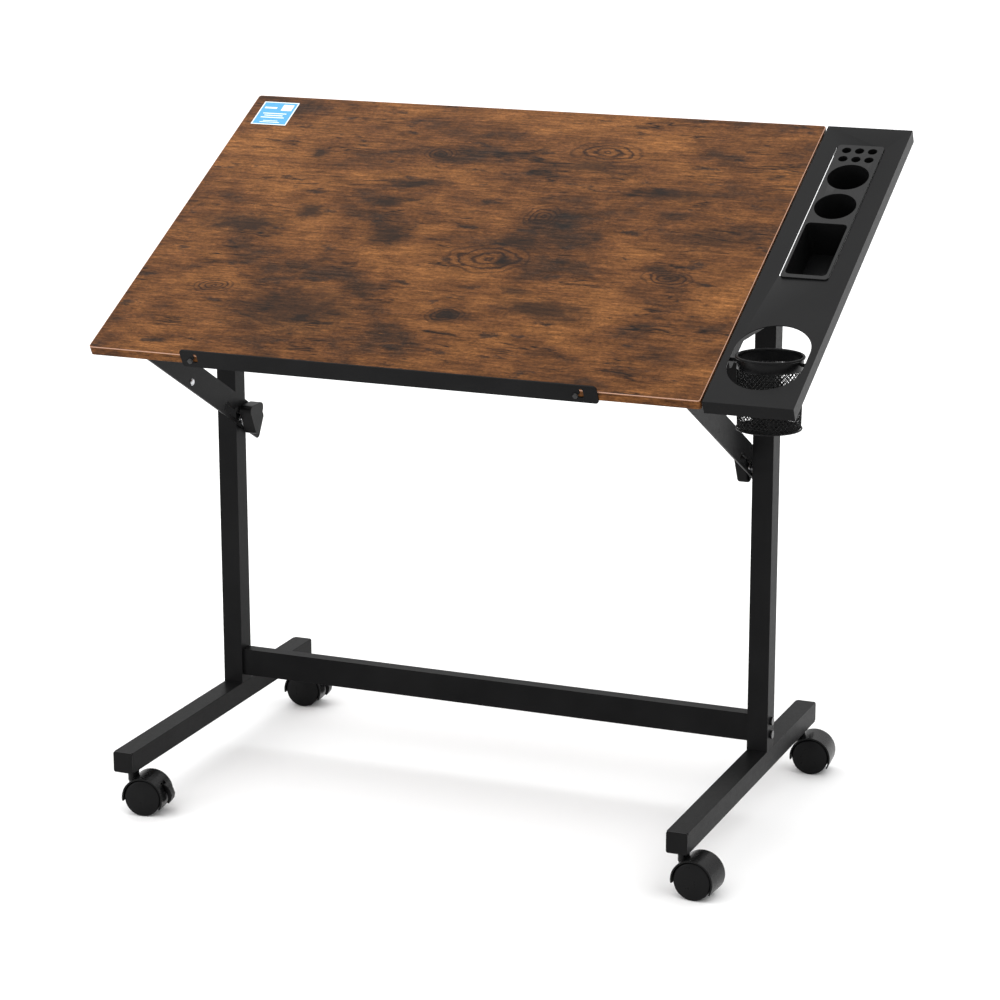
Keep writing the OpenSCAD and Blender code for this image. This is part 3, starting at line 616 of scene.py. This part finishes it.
def diamonds(bm, start, end, around, rows):
    """A net of diamond cells on a cone about Z, from one radius and height to another."""
    grid = []
    for row in range(2 * rows + 1):
        share = row / (2 * rows)
        radius, z = (a + (b - a) * share for a, b in zip(start, end))
        ring = []
        for i in range(around):
            turn = math.tau * (i + 0.5 * (row % 2)) / around
            ring.append(bm.verts.new(Vector((radius * math.cos(turn), radius * math.sin(turn), z)) * MM))
        grid.append(ring)
    for row in range(2 * rows - 1):
        odd = row % 2
        for i in range(around):
            right = grid[row + 1][(i + odd) % around]
            left = grid[row + 1][(i - 1 + odd) % around]
            bm.faces.new((grid[row][i], right, grid[row + 2][i], left))


def net(name, node, ends, around, rows):
    """Expanded metal: a net of diamonds turned into strands."""
    bm = bmesh.new()
    diamonds(bm, *ends, around, rows)
    piece = new_piece(name, bm, node, BASKET_COAT, ON_BASKET, smooth=20)
    strands = piece.modifiers.new("strands", "WIREFRAME")
    strands.thickness = STRAND * MM
    strands.use_even_offset = True
    strands.use_replace = True


def basket():
    """A rolled rim, a solid band under it, a net wall and floor, and a wire round the foot."""
    bm = bmesh.new()
    ring_of_wire(bm, RIM_R - RIM_WIRE_R, RIM_Z, RIM_WIRE_R, 20)
    new_piece("basket_rolled_rim", bm, "basket_rim", BASKET_COAT, ON_BASKET, smooth=80)

    inner = MESH_R - BAND_WALL
    foot = MESH_TOP - 0.4
    section = (
        (MESH_R - 0.2, RIM_Z), (MESH_R, RIM_Z - 1.5), (MESH_R, foot + 0.6), (MESH_R - 0.4, foot),
        (inner, foot + 0.3), (inner, RIM_Z - 1.5), (inner + 0.2, RIM_Z),
    )
    bm = bmesh.new()
    bridge(bm, [circle(radius, z) for radius, z in section], closed=True)
    new_piece("basket_solid_band", bm, "basket_band", BASKET_COAT, ON_BASKET, smooth=50)

    net("basket_wall_net", "basket_mesh", WALL_NET, 42, 12)
    net("basket_floor_net", "basket_floor", FLOOR_NET, 30, 7)

    bm = bmesh.new()
    ring_of_wire(bm, FOOT_R + 0.8, FOOT_WIRE_Z, FOOT_WIRE_R, 12)
    disc(bm, HUB_R, MESH_FOOT + 0.8, MESH_FOOT + 1.6, 24)
    new_piece("basket_foot_ring", bm, "basket_floor", BASKET_COAT, ON_BASKET, smooth=50, stands_for=False)


basket()

# ---------- Frame ----------

for node in ("left_foot", "right_foot", "left_upright", "right_upright", "crossbar", "upper_crossbar"):
    eased(node, BLACK_COAT, 1.6, 4, angle=60)
for node in ("left_top_rail", "right_top_rail"):
    eased(node, BLACK_COAT, 1.2, 3, angle=60)
for node in ("foot_end_caps", "rail_end_caps", "rail_pads"):
    eased(node, BLACK_PLASTIC, 0.9, 3)
for node in ("clamp_inserts", "caster_stems"):
    eased(node, ZINC, 0.6, 2)
eased("crossbar_bolts", BLACK_SCREW, 0.6, 2)

# ---------- Arms, clamps and knobs ----------

for side, rivet_finish in (("left", ZINC), ("right", BLACK_COAT)):
    eased(side + "_arm", BLACK_COAT, 0.5, 2)
    eased(side + "_arm_rivet", rivet_finish, 0.5, 2)
    eased(side + "_clamp_stud", ZINC, 0.4, 2)
    eased(side + "_knob", BLACK_PLASTIC, 3.6, 5)

# ---------- Casters ----------

for place in ("front_left", "rear_left", "front_right", "rear_right"):
    eased(place + "_hood", HOOD_PLASTIC, 0.5, 2)
    eased(place + "_axle", ZINC, 0.3, 2)
    for wheel in ("outer", "inner"):
        eased(f"{place}_{wheel}_wheel", WHEEL_PLASTIC, 0.6, 2, angle=50)
    if place.endswith("left"):
        eased(place + "_brake_lever", HOOD_PLASTIC, 0.6, 2)

# ---------- Studio ----------

AIM = Vector((-0.0457, 0.0751, 0.4191))
AZIMUTH, ELEVATION, ROLL = 22.36, 14.97, -0.09
DISTANCE = 4.4369
LENS, SENSOR = 111.3, 36
SKY = 1.9
# Height on the sky's globe, 0 at the horizon and 1 overhead, and brightness there
SKY_STOPS = ((0.0, 0.44), (0.15, 0.46), (0.45, 0.55), (0.80, 1.0))
FLOOR_REACH = 45
CLIP_END = 100


def camera():
    """From the front, a little to the right and above."""
    data = bpy.data.cameras.new("camera")
    data.lens = LENS
    data.sensor_width = SENSOR
    data.clip_end = CLIP_END
    eye = bpy.data.objects.new("camera", data)
    bpy.context.scene.collection.objects.link(eye)
    turn, rise = math.radians(AZIMUTH), math.radians(ELEVATION)
    away = Vector((math.sin(turn) * math.cos(rise), -math.cos(turn) * math.cos(rise), math.sin(rise)))
    facing = away.to_track_quat("Z", "Y").to_matrix().to_4x4()
    roll = Matrix.Rotation(math.radians(ROLL), 4, "Z")
    eye.matrix_world = Matrix.Translation(AIM + away * DISTANCE) @ facing @ roll
    bpy.context.scene.camera = eye


def area_light(name, place, aim, size, power):
    data = bpy.data.lights.new(name, "AREA")
    data.shape = "RECTANGLE"
    data.size, data.size_y = size
    data.energy = power
    lamp = bpy.data.objects.new(name, data)
    bpy.context.scene.collection.objects.link(lamp)
    lamp.location = place
    lamp.rotation_euler = (Vector(place) - Vector(aim)).to_track_quat("Z", "Y").to_euler()


def sky():
    """A sky that is bright overhead and dimmer at the sides."""
    world = bpy.data.worlds.new("studio")
    world.use_nodes = True
    tree = world.node_tree
    background = tree.nodes["Background"]
    height = add(tree, "SeparateXYZ", add(tree, "TexCoord").outputs["Generated"]).outputs["Z"]
    tree.links.new(ramp(tree, height, *SKY_STOPS), background.inputs["Color"])
    background.inputs["Strength"].default_value = SKY
    bpy.context.scene.world = world


def pale_floor():
    """A wide floor to stand the table on, which is not part of it."""
    bm = bmesh.new()
    signs = ((-1, -1), (1, -1), (1, 1), (-1, 1))
    bm.faces.new([bm.verts.new((x * FLOOR_REACH, y * FLOOR_REACH, 0)) for x, y in signs])
    mesh = bpy.data.meshes.new("floor")
    bm.to_mesh(mesh)
    bm.free()
    material, tree, principled = shader("pale floor", roughness=0.9, shine=0.1)
    tone = noise(tree, coordinates(tree), 1.2, 2.0)
    link(tree, ramp(tree, tone, (0.3, 0.90), (0.7, 0.92)), principled, "Base Color")
    mesh.materials.append(material)
    floor = bpy.data.objects.new("floor", mesh)
    bpy.context.scene.collection.objects.link(floor)


camera()
sky()
area_light("top softbox", (-0.4, -0.3, 3.4), (0, 0, 0.6), (2.2, 1.8), 14)
area_light("left softbox", (-2.6, -2.6, 1.2), (-0.3, 0, 0.4), (1.0, 2.0), 22)
pale_floor()
bpy.context.scene.view_settings.view_transform = "Standard"
